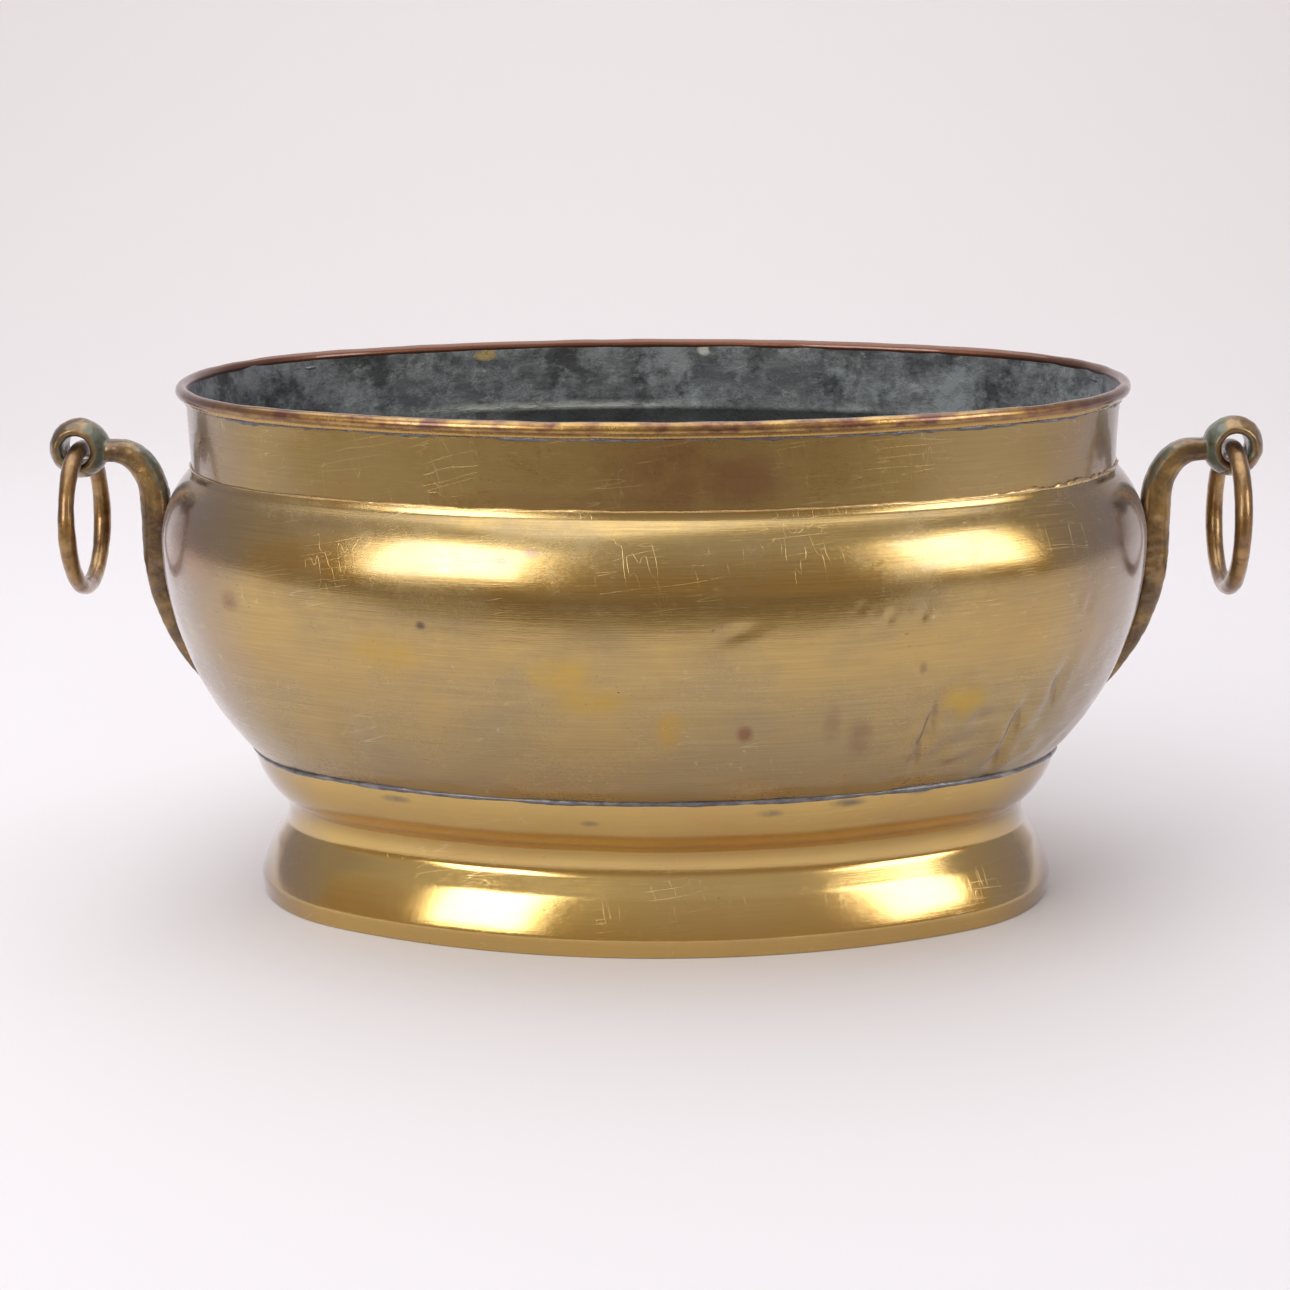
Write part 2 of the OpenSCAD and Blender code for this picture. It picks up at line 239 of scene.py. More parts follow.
belly = {
    "half": halfLength("belly"), "widestZ": 194.0,
    "shoulderR": 54.0, "sideR": 165.0, "cornerR": 12.0,
    "floorZ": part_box("belly")[0].z / mm, "flange": 12.0,
    "neckHalf": 244.9, "neckTop": topOf("belly"), "neckH": 3.0, "sheet": 1.2,
    "step": 2.1,
    "waviness": 0.30, "wavinessSize": 95.0,
    "hammering": 0.055, "hammeringSize": 24.0, "hammeredBelow": 172.0, "inset": 0.42,
    "knocks": 0.55, "knockSize": 15.0, "knockAt": (170.0, 120.0), "knockReach": (45.0, 34.0),
}
# Dents on the front: x, z, half length, half width, tilt in degrees, depth
bellyDents = [
    (138, 120, 21, 3.2, 17, 2.9), (181, 109, 23, 3.4, 19, 2.8), (204, 135, 14, 3.4, 21, 2.2),
    (134, 156, 7, 2.4, -36, 1.0), (104, 120, 17, 4.5, 10, 0.6), (90, 130, 19, 4.5, 2, 0.4),
    (147, 167, 5, 4.0, 10, -0.8), (160, 155, 6, 5.0, 25, -0.9), (122, 163, 5, 4.0, 0, -0.6),
    (117, 185, 2.6, 2.2, 0, 0.7), (133, 185, 2.8, 2.4, 0, 0.8), (103, 191, 2.2, 2.0, 0, 0.5),
    (213, 182, 4.5, 2.0, 0, 0.9), (219, 178, 4.5, 2.0, 10, 0.8), (74, 149, 14, 2.0, 0, 0.35),
    (-60, 112, 22, 8.0, -8, 0.5), (-150, 120, 20, 7.0, -14, 0.55), (20, 105, 16, 9.0, 80, 0.4),
    (160, 128, 16, 6.0, 18, -0.9), (-207, 183, 3.0, 2.0, 0, 0.5), (44, 180, 10, 4.0, 70, 0.25),
]


def dentDepth(points, dents):
    # Each dent is a bell curve on the front, exp(-(along/length)^2 - (across/width)^2), in a
    # frame tilted from upright, with a shallow raised rim of twice the width
    depth = np.zeros(points.shape[:-1])
    front = points[..., 1] < 0
    for x, z, length, width, tilt, deep in dents:
        c, s = math.cos(math.radians(tilt)), math.sin(math.radians(tilt))
        dx, dz = points[..., 0] - x, points[..., 2] - z
        along, across = dz * c + dx * s, dx * c - dz * s
        core = np.exp(-(along / length) ** 2 - (across / width) ** 2)
        rim = np.exp(-(along / length) ** 2 - (across / (2.2 * width)) ** 2)
        depth += deep * (core - 0.42 * rim) * 1.6
    return depth * front


def bellyLine(v):
    # Flange, corner, side arc, shoulder arc and upright neck, from the bottom up
    shoulderX = v["half"] - v["shoulderR"]
    sideX = v["half"] - v["sideR"]
    shoulderA = math.degrees(math.acos((v["neckHalf"] - shoulderX) / v["shoulderR"]))
    rest = v["sideR"] - v["cornerR"]
    cornerA = math.degrees(math.asin((v["widestZ"] - v["floorZ"] - v["cornerR"]) / rest))
    cornerX = sideX + rest * math.cos(math.radians(cornerA))
    parts = [
        [[cornerX - v["flange"], v["floorZ"]]],
        arcLine(cornerX, v["floorZ"] + v["cornerR"], v["cornerR"], -90, -cornerA),
        arcLine(sideX, v["widestZ"], v["sideR"], -cornerA, 0, 160),
        arcLine(shoulderX, v["widestZ"], v["shoulderR"], 0, shoulderA, 80),
        [[v["neckHalf"], v["neckTop"] - v["sheet"] / 2]],
    ]
    return np.concatenate([np.asarray(p, float) for p in parts])


def bellyPush(points, mark):
    # Slow waves, fine hammering that grows downward, and a knocked region on the front's right,
    # all fading to nothing at the flange, the neck and both ends, less the dents
    x, y, z = points[..., 0], points[..., 1], points[..., 2]
    waves = belly["waviness"] * softWaves(points, belly["wavinessSize"], 3)
    low = 1 / (1 + np.exp((z - belly["hammeredBelow"]) / 9))
    beat = belly["hammering"] * (0.25 + 1.5 * low) * softWaves(points, belly["hammeringSize"], 5)
    calm = np.clip((z - 74) / 20, 0, 1) * np.clip((234 - z) / 24, 0, 1)
    end = np.clip((262 - np.abs(x)) / 22, 0, 1)
    (atX, atZ), (reachX, reachZ) = belly["knockAt"], belly["knockReach"]
    knocked = np.exp(-((x - atX) / reachX) ** 2 - ((z - atZ) / reachZ) ** 2) * (y < 0)
    knocks = belly["knocks"] * knocked * softWaves(points, belly["knockSize"], 7)
    push = (waves - belly["inset"] + beat + knocks) * calm * end
    return push - dentDepth(points, bellyDents) * calm


bellyWall = wallLoop(bellyLine(belly), belly["sheet"], belly["step"], 0.7)
bellyPiece = sweepOval("belly.Wall", bellyWall, bellyPush, "pot", ["belly"])
print("belly:", len(bellyPiece.data.polygons), "faces")


collar = {
    "lowHalf": 243.7, "lowZ": topOf("belly") - 6.0, "lapZ": topOf("belly"),
    "topHalf": 244.8, "topZ": 275.6, "sheet": 1.2, "step": 1.9,
    "waviness": 0.16, "wavinessSize": 70.0,
}


def collarPush(points, mark):
    # Slow waves between the lap and the rim, and a lower edge filed in unevenly
    calm = np.clip((points[..., 2] - 238) / 10, 0, 1) * np.clip((271 - points[..., 2]) / 8, 0, 1)
    waves = softWaves(points, collar["wavinessSize"], 11)
    lowEdge = np.clip((236 - points[..., 2]) / 6, 0, 1)
    return collar["waviness"] * waves * calm - 0.25 * lowEdge * (1 + softWaves(points, 30, 12))


collarLine = [
    [collar["lowHalf"], collar["lowZ"] + 0.6], [collar["lowHalf"], collar["lapZ"]],
    [collar["topHalf"], collar["topZ"]],
]
collarWall = wallLoop(collarLine, collar["sheet"], collar["step"], 0.7, 1)
collarPiece = sweepOval("collar.Sheet", collarWall, collarPush, "pot", ["collar"])


def beadLoop(v, stop, count):
    # Round bead of radius r about (half, z), open from stop degrees on, with its own directions
    line = arcLine(v["half"], v["z"], v["r"], 0, stop, count)
    return line, (line - [v["half"], v["z"]]) / v["r"], np.zeros(len(line))


# Hard solder drawn into the lap: a small bead on the neck's edge, fuller in places
braze = {"half": 244.2, "z": topOf("belly") - 0.1, "r": 0.50, "swell": 0.16, "swellSize": 26.0}


def brazePush(points, mark):
    # Slow and small waves, and an overflow on top of the bead at the front's right end
    right = np.exp(-((points[..., 0] - 205) / 34) ** 2) * (points[..., 1] < 0)
    swell = softWaves(points * [1, 1, 0], braze["swellSize"], 21)
    small = softWaves(points * [1, 1, 0], 5.0, 22)
    rise = np.clip((points[..., 2] - braze["z"]) / braze["r"], 0, 1)
    return braze["swell"] * swell + 0.06 * small + rise * right * (1.5 + 0.7 * small)


brazePiece = sweepOval("collar.Braze", beadLoop(braze, 330, 12), brazePush, "pot",
                       ["collar_braze"])
print("collar:", len(collarPiece.data.polygons), "faces")


rim = {
    "half": halfLength("rim_roll"), "top": topOf("rim_roll"), "r": 3.4,
    "lipHalf": 246.9, "lipLow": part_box("rim_roll")[0].z / mm, "lipBack": 244.7,
    "waviness": 0.10, "wavinessSize": 22.0, "step": 0.75,
}


def rimPush(points, mark):
    # Small waves that only ever go inward, so that the rim keeps its size
    return np.minimum(rim["waviness"] * (softWaves(points, rim["wavinessSize"], 31) - 1.6), -0.04)


rollX, rollZ = rim["half"] - rim["r"], rim["top"] - rim["r"]
# Roll from under its outer side over the top to the inside, then the lip down to its edge
rimLine = np.concatenate([
    [[rim["lipBack"], rim["lipLow"] + 0.3], [rim["lipHalf"] - 0.5, rim["lipLow"] + 0.1]],
    [[rim["lipHalf"], rim["lipLow"] + 0.9], [rim["lipHalf"] + 0.25, rim["lipLow"] + 2.3]],
    [[rim["lipHalf"] - 0.1, rim["lipLow"] + 3.1]],
    arcLine(rollX, rollZ, rim["r"], -48, 218, 60),
    [[rim["lipBack"], rollZ - 3.2]],
])
rimLoop = closedLoop(rimLine, rim["step"], 0.45)
rimPiece = sweepOval("rim.Roll", rimLoop, rimPush, "pot", ["rim_roll"])

# Soft solder run along under the lip
rimSolder = {"half": 244.9, "z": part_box("rim_roll")[0].z / mm - 0.1, "r": 0.8}


def rimSolderPush(points, mark):
    # Slow swellings with a small unevenness on them
    swell = softWaves(points * [1, 1, 0], 34, 41)
    small = softWaves(points * [1, 1, 0], 7, 42)
    return 0.30 * swell + 0.22 * small


rimSolderPiece = sweepOval("rim.Solder", beadLoop(rimSolder, 330, 12), rimSolderPush, "pot",
                           ["rim_solder"])
print("rim:", len(rimPiece.data.polygons), "faces")


foot = {
    "topHalf": 218.5, "waist": 201.0, "half": 217.5, "upperR": 48.9, "upperStart": 8,
    "upperEnd": 45, "flareSlow": 31.1, "flareTurn": 12, "flareR": 5.0, "flareEnd": 36,
    "coneL": 10.7, "skirtStart": 29,
    "bandH": 9.0, "bandIn": 0.7,
    "sheet": 1.2, "step": 1.3, "waviness": 0.10, "wavinessSize": 60.0,
}
sideX = belly["half"] - belly["sideR"]
seamZ = belly["widestZ"] - math.sqrt(belly["sideR"] ** 2 - (foot["topHalf"] - sideX) ** 2)


def footLine(v):
    # Plain band, nearly straight skirt, short steeper cone, waist and slow upper round, from the
    # floor up. The skirt's arc starts at skirtStart from upright and ends at the band, so its
    # last slope is twice that of its chord less its first.
    first, last, turn, flare, lean = (math.radians(v[k]) for k in (
        "upperStart", "upperEnd", "flareTurn", "flareEnd", "skirtStart"))
    upperX = v["topHalf"] - v["upperR"] * math.cos(first)
    upperZ = seamZ + v["upperR"] * math.sin(first)
    waistR = (upperX + v["upperR"] * math.cos(last) - v["waist"]) / (1 - math.cos(last))
    waistZ = upperZ - (v["upperR"] + waistR) * math.sin(last)
    slowX, slowZ = v["waist"] + v["flareSlow"], waistZ
    quickX = slowX - (v["flareSlow"] - v["flareR"]) * math.cos(turn)
    quickZ = slowZ - (v["flareSlow"] - v["flareR"]) * math.sin(turn)
    skirtX = quickX - v["flareR"] * math.cos(flare) + v["coneL"] * math.sin(flare)
    skirtZ = quickZ - v["flareR"] * math.sin(flare) - v["coneL"] * math.cos(flare)
    close = 2 * math.atan2(v["half"] - skirtX, skirtZ - v["bandH"]) - lean
    skirtR = (v["half"] - skirtX) / (math.cos(close) - math.cos(lean))
    parts = [
        [[v["half"] - v["bandIn"], 0.66], [v["half"] - 0.1, v["bandH"]]],
        arcLine(v["half"] - skirtR * math.cos(close), v["bandH"] - skirtR * math.sin(close),
                skirtR, math.degrees(close), v["skirtStart"]),
        arcLine(quickX, quickZ, v["flareR"], 180 + v["flareEnd"], 180 + v["flareTurn"], 12),
        arcLine(slowX, slowZ, v["flareSlow"], 180 + v["flareTurn"], 180, 16),
        arcLine(v["waist"] + waistR, waistZ, waistR, 180, 180 - v["upperEnd"], 24),
        arcLine(upperX, upperZ, v["upperR"], -v["upperEnd"], -v["upperStart"]),
        [[v["topHalf"], seamZ + 0.4]],
    ]
    return np.concatenate([np.asarray(p, float) for p in parts])


def footPush(points, mark):
    # Slow waves, none at the lower edge and at the seam
    calm = np.clip(points[..., 2] / 10, 0, 1) * np.clip((84 - points[..., 2]) / 10, 0, 1)
    return foot["waviness"] * (softWaves(points, foot["wavinessSize"], 51) - 0.8) * calm


footWall = wallLoop(footLine(foot), foot["sheet"], foot["step"], 0.4)
footPiece = sweepOval("foot.Wall", footWall, footPush, "pot", ["foot"])

# Soft solder bead between foot and belly, uneven as it was wiped
footSolder = {"r": 1.5, "half": 218.4, "z": seamZ}


def footSolderPush(points, mark):
    # Slow swellings with a small unevenness on them, a little under the bead's full radius
    swell = softWaves(points * [1, 1, 0], 46, 61)
    small = softWaves(points * [1, 1, 0.6], 9, 62)
    return 0.26 * swell + 0.10 * small - 0.1


footSolderPiece = sweepOval("foot.Solder", beadLoop(footSolder, 345, 24), footSolderPush, "pot",
                            ["foot_solder"])

# Floor plate, let into the belly's flange: copies of its own outline drawn in to the middle
plate = {
    "half": halfLength("floor_plate"), "top": topOf("floor_plate"),
    "bottom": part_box("floor_plate")[0].z / mm, "sag": 0.4,
}


def plateSurface(v, rows=40):
    # Outline times s for s from 0 to 1 on top, then back from 1 to 0 below, with a soft edge
    edge = v["half"] * planNormal + planTrack
    s = np.concatenate([np.linspace(0, 1, rows) ** 0.8, np.linspace(1, 0, rows) ** 0.8])
    z = np.concatenate([np.full(rows, v["top"]), np.full(rows, v["bottom"])])
    points = np.empty((2 * rows, len(edge), 3))
    points[..., :2] = s[:, None, None] * edge[None]
    points[..., 2] = z[:, None]
    wave = np.clip(softWaves(points * [1, 1, 0], 60, 71) - 1.2, -3, 0)
    points[..., 2] += v["sag"] * wave * (1 - s[:, None] ** 2) * (z[:, None] > v["bottom"])
    return points


platePoints = plateSurface(plate)
plateFaces = gridFaces(platePoints.shape[0], platePoints.shape[1], False, True)
platePiece = addPiece("foot.FloorPlate", platePoints, plateFaces, "pot",
                      ["floor_plate"], merge=True)
print("foot:", len(footPiece.data.polygons), "faces")


handle = {
    "eyeX": 306.0, "eyeZ": 241.0, "knobR": 16.0, "knobHalf": 11.5, "eyeR": 7.6, "mouthR": 2.5,
    "neckW": 25.5, "neckH": 34.5, "neckX": 284.5, "neckZ": 211.0,
    "hollowW": 14.0, "hollowH": 19.0, "hollowX": 289.0, "hollowZ": 214.5,
    "bendR": 105.0, "bendZ": 185.0, "barW": 15.0, "tipW": 10.0, "tipZ": 98.0,
    "rootX": 298.0, "wallX": 259.0, "sunk": 0.25, "squareness": 2.8, "voxel": 0.62, "smooth": 5,
}


def bellyX(z, y=0.0):
    # The belly's outer face at height z and depth y on the right-hand round end
    shoulderX = belly["half"] - belly["shoulderR"]
    up = np.clip(z - belly["widestZ"], 0, None)
    down = np.clip(belly["widestZ"] - z, 0, None)
    above = shoulderX + np.sqrt(belly["shoulderR"] ** 2 - np.minimum(up, 50) ** 2)
    below = sideX + np.sqrt(belly["sideR"] ** 2 - np.minimum(down, 150) ** 2)
    half = np.where(z > belly["widestZ"], above, below)
    return endCentre + np.sqrt((half - endCentre) ** 2 - np.asarray(y) ** 2)


def barSurface(v, rows=150, turns=48):
    # Sections between an inner and an outer edge line: point = middle + thickness/2 cu + width/2
    # sv, where (cu, sv) runs round a squared circle, |cu|^n + |sv|^n = 1. Both lines run from the
    # eye over the neck and down the belly. The ends are drawn in to a point.
    lead, bow = 14, 34
    down = rows - lead - bow
    angle = np.radians(np.linspace(90, 180, bow))
    z = np.linspace(v["neckZ"], v["tipZ"], down + 1)[1:]
    innerX = np.minimum(v["wallX"], bellyX(z) - v["sunk"])
    outerX = np.where(z > v["bendZ"], v["hollowX"] - v["hollowW"], v["hollowX"] - v["hollowW"]
                      - v["bendR"] + np.sqrt(v["bendR"] ** 2 - np.minimum(z - v["bendZ"], 0) ** 2))
    inner = np.concatenate([
        np.stack([np.linspace(v["rootX"], v["neckX"], lead + 1)[:-1],
                  np.full(lead, v["neckZ"] + v["neckH"])], -1),
        np.stack([v["neckX"] + v["neckW"] * np.cos(angle),
                  v["neckZ"] + v["neckH"] * np.sin(angle)], -1),
        np.stack([innerX, z], -1)])
    zOuter = np.linspace(v["hollowZ"], v["tipZ"], down + 1)[1:]
    outer = np.concatenate([
        np.stack([np.linspace(v["rootX"], v["hollowX"], lead + 1)[:-1],
                  np.full(lead, v["hollowZ"] + v["hollowH"])], -1),
        np.stack([v["hollowX"] + v["hollowW"] * np.cos(angle),
                  v["hollowZ"] + v["hollowH"] * np.sin(angle)], -1),
        np.stack([outerX, zOuter], -1)])
    low = np.clip((v["bendZ"] - outer[:, 1]) / (v["bendZ"] - v["tipZ"]), 0, 1)
    width = (v["barW"] + (v["tipW"] - v["barW"]) * low) / 2
    tipRound = np.clip((outer[:, 1] - v["tipZ"]) / (v["tipW"] / 2), 0, 1)
    width = width * np.sqrt(np.clip(1 - (1 - tipRound) ** 2, 0.02, 1))
    turn = np.arange(turns) * 2 * np.pi / turns
    power = 2 / v["squareness"]
    cu = np.sign(np.cos(turn)) * np.abs(np.cos(turn)) ** power
    sv = np.sign(np.sin(turn)) * np.abs(np.sin(turn)) ** power
    middle, thick = (inner + outer) / 2, (outer - inner) / 2
    points = np.empty((rows, turns, 3))
    points[..., 0] = middle[:, :1] + thick[:, :1] * cu
    points[..., 2] = middle[:, 1:] + thick[:, 1:] * cu
    points[..., 1] = width[:, None] * sv
    cap = points.mean(1, keepdims=True)
    ends = np.repeat(cap, turns, 1)
    return np.concatenate([ends[:1], points, ends[-1:]])


def knobSurface(v, turns=120):
    # A ring about the Y axis: the section is a ball's outline with a rounded hole through it
    edge = math.degrees(math.asin(v["knobHalf"] / v["knobR"]))
    outside = arcLine(0, 0, v["knobR"], -edge, edge, 40)
    mouth = v["knobHalf"] - v["mouthR"]
    upper = arcLine(v["eyeR"] + v["mouthR"], mouth, v["mouthR"], 90, 180, 12)
    lower = arcLine(v["eyeR"] + v["mouthR"], -mouth, v["mouthR"], 180, 270, 12)
    section = closedLoop(np.concatenate([outside, upper, lower]), 0.6, 0.7)[0]
    turn = np.arange(turns) * 2 * np.pi / turns
    points = np.empty((len(section), turns, 3))
    points[..., 0] = v["eyeX"] + section[:, :1] * np.cos(turn)
    points[..., 2] = v["eyeZ"] + section[:, :1] * np.sin(turn)
    points[..., 1] = section[:, 1:]
    return points


def closedMesh(parts):
    # Several closed grids as one list of points and faces, each turned outward
    points, faces, start = [], [], 0
    for grid, wrapRows in parts:
        flat = grid.reshape(-1, 3)
        cells = gridFaces(grid.shape[0], grid.shape[1], wrapRows, True)
        a, b, c, d = (flat[cells[:, k]] - flat.mean(0) for k in range(4))
        if ((np.cross(a, b) * c).sum() + (np.cross(a, c) * d).sum()) < 0:
            cells = cells[:, ::-1]
        points.append(flat)
        faces.append(cells + start)
        start += len(flat)
    return np.concatenate(points), np.concatenate(faces)


def fuse(piece, voxel, rounds):
    # One skin over all the parts of a mesh, then a light smoothing, kept as plain mesh
    remesh = piece.modifiers.new("skin", "REMESH")
    remesh.mode = "VOXEL"
    remesh.voxel_size = voxel * mm
    smooth = piece.modifiers.new("smooth", "SMOOTH")
    smooth.factor = 0.5
    smooth.iterations = rounds
    ready = piece.evaluated_get(bpy.context.evaluated_depsgraph_get())
    mesh = bpy.data.meshes.new_from_object(ready)
    piece.modifiers.clear()
    old, piece.data = piece.data, mesh
    bpy.data.meshes.remove(old)
    mesh.name = piece.name
    mesh.shade_smooth()


def castHandle(side, sign):
    # Bar and knob fused into one casting, its skin moved along the normals by slow and fine waves
    points, faces = closedMesh([(barSurface(handle), False), (knobSurface(handle), True)])
    piece = addPiece(f"{side}.Handle", points * [sign, 1, 1], faces, "pot",
                     [f"{side}_handle"], merge=True)
    fuse(piece, handle["voxel"], handle["smooth"])
    mesh = piece.data
    flat = np.empty(len(mesh.vertices) * 3)
    mesh.vertices.foreach_get("co", flat)
    spots = flat.reshape(-1, 3) / mm
    normals = np.empty(len(mesh.vertices) * 3)
    mesh.vertices.foreach_get("normal", normals)
    rough = 0.10 * softWaves(spots, 13, 81) + 0.05 * softWaves(spots, 5, 82) - 0.12
    spots += normals.reshape(-1, 3) * rough[:, None]
    mesh.vertices.foreach_set("co", (spots * mm).ravel())
    mesh.update()
    return piece


pad = {"margin": 1.6, "swell": 0.9, "top": 210.0, "low": 95.6, "bead": 1.0, "sink": 0.5}


def padSurface(v, rows=130, across=44):
    # Solder round the bar's seat: a thin blanket on the belly, fullest along the bar's edges and
    # falling into the belly at its own outline, closed by a copy of itself sunk in the sheet
    s = np.linspace(0, 1, rows)
    z = v["low"] + (v["top"] - v["low"]) * s
    low = np.clip((handle["bendZ"] - z) / (handle["bendZ"] - handle["tipZ"]), 0, 1)
    bar = (handle["barW"] + (handle["tipW"] - handle["barW"]) * low) / 2
    tip = np.clip((z - v["low"]) / 7.0, 0, 1)
    crown = np.clip((v["top"] - z) / 5.0, 0, 1)
    seam = np.stack([z * 0, z, z * 0], -1)
    margin = v["margin"] + v["swell"] * np.clip(softWaves(seam, 26, 91), -0.6, 1.6)
    half = (bar + margin) * np.sqrt(np.clip(1 - (1 - tip) ** 2, 1e-4, 1))
    half = half * np.sqrt(np.clip(1 - (1 - crown) ** 2, 1e-4, 1))
    u = np.sin(np.linspace(-np.pi / 2, np.pi / 2, across))
    y = half[:, None] * u
    edge = np.sqrt(np.clip(1 - u**2, 0, 1)) * np.sqrt(tip * crown)[:, None]
    spots = np.stack([y * 0, y, z[:, None] + 0 * y], -1)
    lift = -0.3 + (v["bead"] + 0.35 * softWaves(spots, 9, 92)) * edge
    under = np.full_like(lift, -v["sink"])
    top = np.stack([bellyX(z[:, None], y) + lift, y, z[:, None] + 0 * y], -1)
    bottom = np.stack([bellyX(z[:, None], y) + under, y, z[:, None] + 0 * y], -1)
    return np.concatenate([top, bottom[:, ::-1]], 1)


rivet = {"angles": [1, 19], "headR": 5.0, "headH": 2.2, "shankR": 2.5}


def rivetSurface(v, angle, turns=40):
    # A domed head on the inner face and a shank into the bar, turned about the wall's normal
    outline = np.array([[0, -belly["sheet"] - v["headH"]]])
    dome = np.radians(np.linspace(84, 8, 10))
    outline = np.concatenate([outline, np.stack([v["headR"] * np.cos(dome), -belly["sheet"]
                              - v["headH"] * np.sin(dome)], -1),
                              [[v["headR"], -belly["sheet"] + 0.5], [v["shankR"], -0.6],
                               [v["shankR"], 3.0], [0, 3.0]]])
    turn = np.arange(turns) * 2 * np.pi / turns
    c, s = math.cos(math.radians(angle)), math.sin(math.radians(angle))
    r, out = outline[:, :1], outline[:, 1:]
    up = r * np.sin(turn)
    points = np.empty((len(outline), turns, 3))
    points[..., 0] = sideX + (belly["sideR"] + out) * c + up * s
    points[..., 2] = belly["widestZ"] - (belly["sideR"] + out) * s + up * c
    points[..., 1] = r * np.cos(turn)
    return points


ringValues = {"r": 37.0, "stock": 4.7, "drop": 1.0, "worn": 0.12}


def ringSurface(v, seed, around=260, turns=36):
    # A round bar bent into a ring, its stock a little uneven as cast and filed
    t = np.arange(around)[:, None] * 2 * np.pi / around
    p = np.arange(turns)[None, :] * 2 * np.pi / turns
    base = np.stack([0 * p + handle["eyeX"] + 0 * t,
                     v["r"] * np.sin(t) + 0 * p, v["r"] * np.cos(t) + 0 * p], -1)
    uneven = v["worn"] * (softWaves(base, 30, seed) - 1.3)
    stock = v["stock"] + uneven + 0.04 * softWaves(base, 8, seed + 1)
    centreZ = handle["eyeZ"] - v["drop"] - v["r"]
    return np.stack([handle["eyeX"] + stock * np.sin(p),
                     (v["r"] + stock * np.cos(p)) * np.sin(t),
                     centreZ + (v["r"] + stock * np.cos(p)) * np.cos(t)], -1)


sides = {}
for side, sign, seed in (("left", -1, 101), ("right", 1, 111)):
    flip = [sign, 1, 1]
    made = {"handle": castHandle(side, sign)}
    blanket = padSurface(pad) * flip
    made["pad"] = addPiece(f"{side}.HandleSolder", blanket,
                           gridFaces(blanket.shape[0], blanket.shape[1], False, True), "pot",
                           [f"{side}_handle_solder"], merge=True)
    studs = [(rivetSurface(rivet, angle), False) for angle in rivet["angles"]]
    studPoints, studFaces = closedMesh(studs)
    made["rivets"] = addPiece(f"{side}.Rivets", studPoints * flip, studFaces, "pot",
                              [f"{side}_handle_rivets"], merge=True)
    loop = ringSurface(ringValues, seed) * flip
    made["ring"] = addPiece(f"{side}.Ring", loop, gridFaces(loop.shape[0], loop.shape[1], True,
                            True), f"{side}_ring", [f"{side}_ring"])
    sides[side] = made
print("handles:", len(sides["left"]["handle"].data.polygons), "faces each")


def linear(code):
    # An sRGB code such as C8A04A as linear red, green and blue
    values = [int(code[k:k + 2], 16) / 255 for k in (0, 2, 4)]
    return [v / 12.92 if v <= 0.04045 else ((v + 0.055) / 1.055) ** 2.4 for v in values] + [1.0]


def add(tree, kind, *values, out=0, **settings):
    # Adds a node. Values go into its inputs in order. A setting is one of its properties or an
    # input, by name or as in6 for input 6; a socket is linked, a six-letter code is a colour.
    # Gives back its output number out.
    node = tree.nodes.new("ShaderNode" + kind)
    for key, value in ({f"in{k}": value for k, value in enumerate(values)} | settings).items():
        if hasattr(node, key):
            setattr(node, key, value)
            continue
        port = node.inputs[int(key[2:]) if key[:2] == "in" else key.replace("_", " ")]
        if isinstance(value, bpy.types.NodeSocket):
            tree.links.new(value, port)
        elif isinstance(value, str):
            port.default_value = linear(value)
        else:
            port.default_value = value
    return node.outputs[out]


def metal(name, film=0.8):
    # Metal under a thin clear film of wax with a little dust, pale where it is seen edge on: its
    # material, tree, shader and the place on the object in metres
    material = bpy.data.materials.new(name)
    material.use_nodes = True
    tree = material.node_tree
    tree.nodes.clear()
    shade = add(tree, "BsdfPrincipled", Metallic=1.0, Coat_Weight=film, Coat_Roughness=0.10,
                Sheen_Weight=film * 0.35, Sheen_Roughness=0.35, Sheen_Tint="EAE2F2")
    output = tree.nodes.new("ShaderNodeOutputMaterial")
    tree.links.new(shade, output.inputs[0])
    place = tree.nodes.new("ShaderNodeTexCoord").outputs["Object"]
    return material, tree, shade.node, place


def noise(tree, place, size, detail, rough, turn=(0, 0, 0)):
    # Noise with features of size mm, one number or one for X, Y and Z, turned by degrees
    sizes = size if isinstance(size, tuple) else (size, size, size)
    turned = add(tree, "Mapping", Vector=place, Rotation=[math.radians(a) for a in turn])
    fitted = add(tree, "Mapping", Vector=turned, Scale=[1 / (k * mm) for k in sizes])
    return add(tree, "TexNoise", Vector=fitted, Scale=1.0, Detail=detail, Roughness=rough)


def clouds(tree, place, size, low, high, detail=3.0, rough=0.55):
    # 0 to 1 pattern: 0 where the noise is at low, 1 where it is at high
    fog = noise(tree, place, size, detail, rough)
    return add(tree, "MapRange", Value=fog, From_Min=low, From_Max=high)


def scratches(tree, place, size, width, turn):
    # Thin lines where stretched noise passes its middle value, 0.5
    fog = noise(tree, place, size, 1.0, 0.5, turn)
    off = add(tree, "Math", fog, 0.5, operation="SUBTRACT")
    off = add(tree, "Math", off, operation="ABSOLUTE")
    return add(tree, "MapRange", Value=off, From_Min=0.0, From_Max=width, To_Min=1.0, To_Max=0.0)


